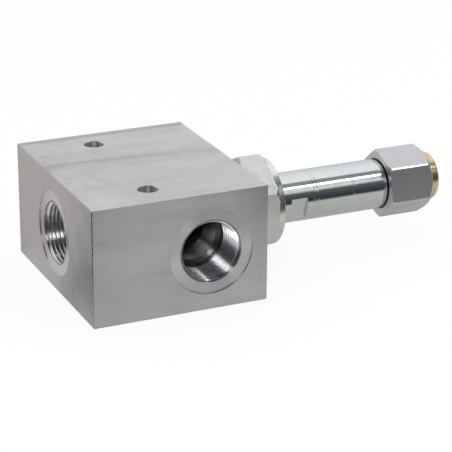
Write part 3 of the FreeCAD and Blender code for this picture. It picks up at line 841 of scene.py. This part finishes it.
class VALVE_OT_coil_nut(bpy.types.Operator):
    """Finish the coil nut and cut its thread, in mesh with the end plug's"""

    bl_idname = "valve.coil_nut"
    bl_label = "Coil nut"

    def execute(self, context):
        thread = context.scene.valve_plug_thread
        material = coil_nut_finish(context.scene.valve_colours)
        wear(material, "coil_nut")
        start = NUT_LOW.x + thread.nut_mouth - PLUG_LOW.x
        end = NUT_HIGH.x - PLUG_LOW.x

        def radius_at(along, height):
            lead_in = min(along - start, end - along)
            return thread.nut_bore - min(thread.depth * (1.0 - height), lead_in)

        mesh = thread_mesh(ON_PLUG, METRIC_PROFILE, thread.pitch, start, end, radius_at, PLUG_SEGMENTS)
        mesh_piece("coil_nut_thread", "nut", material, mesh)
        return {"FINISHED"}


class VALVE_OT_inner_parts(bpy.types.Operator):
    """Finish the sleeve, spool, spring, armature and override pin"""

    bl_idname = "valve.inner_parts"
    bl_label = "Sleeve, spool, spring and core"

    def execute(self, context):
        colours = context.scene.valve_colours
        sleeve = turned_finish("blackened_sleeve", colours.blackened, 0.34, 0.2 * MM, 2.0 * UM, 0.7)
        ground = turned_finish("ground_steel", colours.ground_steel, 0.18, 0.07 * MM, 0.6 * UM)
        iron = turned_finish("armature_iron", colours.armature_iron, 0.27, 0.18 * MM, 2.0 * UM, 0.8)
        wire = wire_finish(colours)
        wear(sleeve, "metering_sleeve")
        wear(iron, "armature")
        wear(ground, "spool", "push_rod", "spring_seat", "override_pin")
        wear(wire, "return_spring", "retaining_ring")
        self.spring(wire)
        return {"FINISHED"}

    def spring(self, material):
        """A copy of the return spring as a still piece; the real spring shortens between its seat in the
        sleeve and the spool.
        """
        mesh = bmesh.new()
        mesh.from_mesh(frame["nodes"]["return_spring"].data)
        piece = mesh_piece("return_spring_coils", None, material, mesh)
        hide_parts("return_spring")
        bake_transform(piece)


class VALVE_OT_seals(bpy.types.Operator):
    """Finish the rubber rings and the plastic backup rings"""

    bl_idname = "valve.seals"
    bl_label = "Seals"

    def execute(self, context):
        colours = context.scene.valve_colours
        wear(
            rubber_finish(colours), "cavity_o_ring", "nose_o_ring", "pole_o_ring", "plug_o_ring",
            "override_o_ring", "nut_seal_ring")
        wear(ring_plastic_finish(colours), "nose_backup_ring_inner", "nose_backup_ring_outer")
        return {"FINISHED"}


# The studio's dark side is a little blue
DARK_TINT = (0.93, 1.0, 1.13)


def glowing(name, level, tint=WHITE):
    """A plain card of one brightness."""
    material, tree, surface = bare_material(name)
    feed(tree, surface, new_node(tree, "ShaderNodeEmission", {"Color": tint, "Strength": level}))
    return material


def graded(name, axis, span, levels, tint=WHITE):
    """A card whose brightness changes along an axis, over a span of it."""
    material, tree, surface = bare_material(name)
    places = new_node(tree, "ShaderNodeTexCoord", {})
    level = ramp(split(tree, places.outputs["Object"])["XYZ".index(axis)], *span, *levels)
    feed(tree, surface, new_node(tree, "ShaderNodeEmission", {"Color": tint, "Strength": level}))
    return material


def matt(name, base, glow):
    """A plain dull surface of one colour, with a faint even glow."""
    material, tree, surface = bare_material(name)
    dull = new_node(tree, "ShaderNodeBsdfDiffuse", {"Color": base})
    even = new_node(tree, "ShaderNodeEmission", {"Color": base, "Strength": glow})
    feed(tree, surface, new_node(tree, "ShaderNodeAddShader", {0: dull, 1: even}))
    return material


def seen_directly(tree):
    """One for rays from the camera and for those that metal or glass sends on."""
    path = new_node(tree, "ShaderNodeLightPath", {})
    kinds = ("Is Camera Ray", "Is Glossy Ray", "Is Transmission Ray")
    camera, mirrored, sent_through = [Value(tree, path.outputs[kind]) for kind in kinds]
    return greater(greater(camera, mirrored), sent_through)


def floor_finish(studio):
    """Pale floor that shows nearly plain white and keeps a soft shadow."""
    material, tree, surface = bare_material("pale_floor")
    dull = new_node(tree, "ShaderNodeBsdfDiffuse", {"Color": studio.floor_colour})
    white = new_node(tree, "ShaderNodeEmission", {"Color": WHITE, "Strength": studio.glow_level})
    white_share = seen_directly(tree) * studio.floor_glow
    feed(tree, surface, new_node(tree, "ShaderNodeMixShader", {0: white_share, 1: dull, 2: white}))
    return material


def sheet(name, low, high, material):
    """A flat four-cornered sheet between two opposite corners, as part of the stage."""
    low, high = Vector(low), Vector(high)
    along = 0 if low.x != high.x else 1
    side = low.copy()
    side[along] = high[along]
    data = bpy.data.meshes.new(name)
    data.from_pydata([low, side, high, low + high - side], [], [(0, 1, 2, 3)])
    data.materials.append(material)
    made = put(name, data)
    return made


def reflection_card(name, low, high, material):
    """A sheet that only shows as a reflection in metal."""
    card = sheet(name, low, high, material)
    card.visible_camera = False
    card.visible_diffuse = False
    card.visible_shadow = False
    card.visible_transmission = False


class VALVE_OT_stage(bpy.types.Operator):
    """Set up the floor, the lamps, the reflection cards and the camera"""

    bl_idname = "valve.stage"
    bl_label = "Studio"

    def execute(self, context):
        studio = context.scene.valve_studio
        self.floor_and_cards(studio)
        self.lamps(studio)
        self.surroundings(context, studio)
        self.camera(context, studio)
        return {"FINISHED"}

    def floor_and_cards(self, studio):
        # Heights and sides of the room that the cards form round the valve
        floor_z, card_z = -0.0002, -0.0001
        left_x, right_x, front_y = -1.0, 1.6, -0.80
        middle_z, top_z, ceiling_z, grey_z = 0.45, 0.95, 0.861, 0.859
        middle_level = 0.12
        table = matt("table_card", studio.table, studio.table_glow)
        front_table = matt("front_table_card", studio.front_table, studio.table_glow)
        dark = glowing("dark_card", studio.dark_level, DARK_TINT)
        grey = glowing("grey_card", studio.grey_level)
        side = glowing("side_card", studio.side_level)
        low_grade = graded(
            "low_graded_card", "Z", (0.0, middle_z), (studio.dark_level, middle_level), DARK_TINT)
        high_grade = graded("high_graded_card", "Z", (middle_z, 0.64), (middle_level, 0.95))
        floor_grade = graded("floor_graded_card", "Y", (-0.135, -0.085), (0.08, 0.50))
        sheet("floor", (-6, -6, floor_z), (6, 6, floor_z), floor_finish(studio))
        cards = (
            ("table_card", (-0.075, -0.085, card_z), (0.75, 0.55, card_z), table),
            ("back_table_card", (-0.55, 0.035, card_z), (-0.075, 0.55, card_z), table),
            ("front_table_card", (-0.02, front_y, card_z), (0.08, -0.085, card_z), front_table),
            ("near_table_card", (-0.04, -0.085, 0.0), (0.06, -0.0455, 0.0), front_table),
            ("left_table_card", (-0.066, -0.045, 0.0), (-0.0385, 0.045, 0.0), front_table),
            ("graded_floor_card", (0.08, -0.135, card_z), (right_x, -0.085, card_z), floor_grade),
            ("dark_floor_card", (0.08, front_y, card_z), (right_x, -0.135, card_z), dark),
            ("dark_left_floor_card", (left_x, front_y, card_z), (-0.02, -0.085, card_z), dark),
            ("dark_port_floor_card", (-0.55, -0.085, card_z), (-0.075, 0.035, card_z), dark),
            ("low_front_card", (0.08, front_y, 0.0), (right_x, front_y, middle_z), low_grade),
            ("middle_front_card", (0.08, front_y, middle_z), (0.475, front_y, 0.86), dark),
            ("high_front_card", (0.475, front_y, middle_z), (right_x, front_y, top_z), high_grade),
            ("far_front_card", (0.80, -0.7999, middle_z), (right_x, -0.7999, 0.90), dark),
            ("dark_left_front_card", (left_x, front_y, 0.0), (0.08, front_y, top_z), dark),
            ("dark_left_card", (left_x, front_y, 0.0), (left_x, 0.10, top_z), dark),
            ("dark_left_ceiling_card", (left_x, front_y, top_z), (0.10, 0.10, top_z), dark),
            ("dark_ceiling_card", (0.10, front_y, ceiling_z), (0.48, -0.40, ceiling_z), dark),
            ("far_ceiling_card", (0.70, front_y, ceiling_z), (1.1, -0.40, ceiling_z), dark),
            ("key_back_card", (0.48, -0.58, ceiling_z), (0.68, -0.40, ceiling_z), dark),
            ("grey_ceiling_card", (0.15, -0.40, grey_z), (right_x, -0.095, grey_z), grey),
            ("side_card", (1.1, -0.79, 0.0), (1.1, 0.3, 0.8), side),
        )
        for card in cards:
            reflection_card(*card)

    def lamps(self, studio):
        down, up = (0.0, 0.0, -1.0), (0.0, 0.0, 1.0)
        at_valve = (0.392, 0.77, -0.50)
        self.soft_box(
            "key_box", (0.58, -0.50, 0.86), down, (0.196, 0.16), studio.key_level, spares=["cartridge_body"])
        self.soft_box("camera_box", (-0.37, -0.72, 0.49), at_valve, (0.26, 0.24), studio.camera_box_level)
        self.soft_box(
            "end_port_box", (-0.37, -0.74, 0.50), at_valve, (0.55, 0.34), studio.end_port_level,
            lights=["port_1_thread"])
        self.soft_box(
            "side_port_box", (0.0072, -0.0700, 0.0005), up, (0.008, 0.022), studio.side_port_level,
            lights=["port_2_thread"])

    def soft_box(self, name, place, aim, size, level, lights=(), spares=()):
        """A lamp of one brightness, where the background is 1. It may light or spare some pieces."""
        light = bpy.data.lights.new(name, "AREA")
        light.shape = "RECTANGLE"
        light.size, light.size_y = size
        light.energy = level * math.pi * light.size * light.size_y
        lamp = put(name, light)
        lamp.location = place
        lamp.rotation_euler = Vector(aim).to_track_quat("-Z", "Y").to_euler()
        lamp.visible_camera = False
        if lights or spares:
            chosen = bpy.data.collections.new(name)
            for piece in lights or spares:
                chosen.objects.link(bpy.data.objects[piece])
            lamp.light_linking.receiver_collection = chosen
            for item in chosen.collection_objects:
                item.light_linking.link_state = "INCLUDE" if lights else "EXCLUDE"

    def surroundings(self, context, studio):
        """Even light from all round, a graded sky in metal, and white before the camera."""
        world = bpy.data.worlds.new("studio")
        world.use_nodes = True
        tree = world.node_tree
        places = new_node(tree, "ShaderNodeTexCoord", {})
        height = split(tree, places.outputs["Generated"])[2]
        sky = ramp(height, 0.0, studio.sky_reach, studio.sky_low, studio.sky_high)
        seen = choose(seen_directly(tree), studio.fill_level, sky)
        path = new_node(tree, "ShaderNodeLightPath", {})
        white = Value(tree, path.outputs["Is Camera Ray"])
        background = tree.nodes["Background"]
        feed(tree, background.inputs["Color"], WHITE)
        feed(tree, background.inputs["Strength"], greater(seen, white))
        context.scene.world = world

    def camera(self, context, studio):
        tilt = math.radians(90.0) - studio.camera_elevation
        turn = Matrix.Rotation(studio.camera_azimuth, 4, "Z") @ Matrix.Rotation(tilt, 4, "X")
        turn @= Matrix.Rotation(studio.camera_roll, 4, "Z")
        data = bpy.data.cameras.new("camera")
        data.lens = studio.camera_lens
        data.sensor_width = 36.0
        data.clip_start = 0.01
        data.clip_end = 50.0
        camera = put("camera", data)
        camera.matrix_world = Matrix.Translation(studio.camera_place) @ turn
        context.scene.camera = camera
        context.scene.view_settings.view_transform = "Standard"


OPERATORS = (
    VALVE_OT_block, VALVE_OT_cartridge, VALVE_OT_end_plug, VALVE_OT_coil_nut, VALVE_OT_inner_parts,
    VALVE_OT_seals, VALVE_OT_stage)
SETTINGS = {
    "valve_port_thread": PortThreadSizes,
    "valve_plug_thread": PlugThreadSizes,
    "valve_plug": PlugSizes,
    "valve_colours": FinishColours,
    "valve_studio": StudioSettings,
}


class VALVE_PT_looks(bpy.types.Panel):
    """Lists the valve's steps and sizes"""

    bl_idname = "VALVE_PT_looks"
    bl_label = "Cartridge valve"
    bl_space_type = "VIEW_3D"
    bl_region_type = "UI"
    bl_category = "Valve"

    def draw(self, context):
        for operator in OPERATORS:
            self.layout.operator(operator.bl_idname)
        for name, group in SETTINGS.items():
            box = self.layout.box()
            box.label(text=group.__doc__)
            for item in group.__annotations__:
                box.prop(getattr(context.scene, name), item)


def register():
    for name, group in SETTINGS.items():
        bpy.utils.register_class(group)
        setattr(bpy.types.Scene, name, PointerProperty(type=group))
    for operator in OPERATORS:
        bpy.utils.register_class(operator)
    bpy.utils.register_class(VALVE_PT_looks)


def unregister():
    bpy.utils.unregister_class(VALVE_PT_looks)
    for operator in reversed(OPERATORS):
        bpy.utils.unregister_class(operator)
    for name, group in reversed(SETTINGS.items()):
        delattr(bpy.types.Scene, name)
        bpy.utils.unregister_class(group)


def main():
    register()
    bpy.ops.valve.block()
    bpy.ops.valve.cartridge()
    bpy.ops.valve.end_plug()
    bpy.ops.valve.coil_nut()
    bpy.ops.valve.inner_parts()
    bpy.ops.valve.seals()
    bpy.ops.valve.stage()


if __name__ == "__main__":
    main()
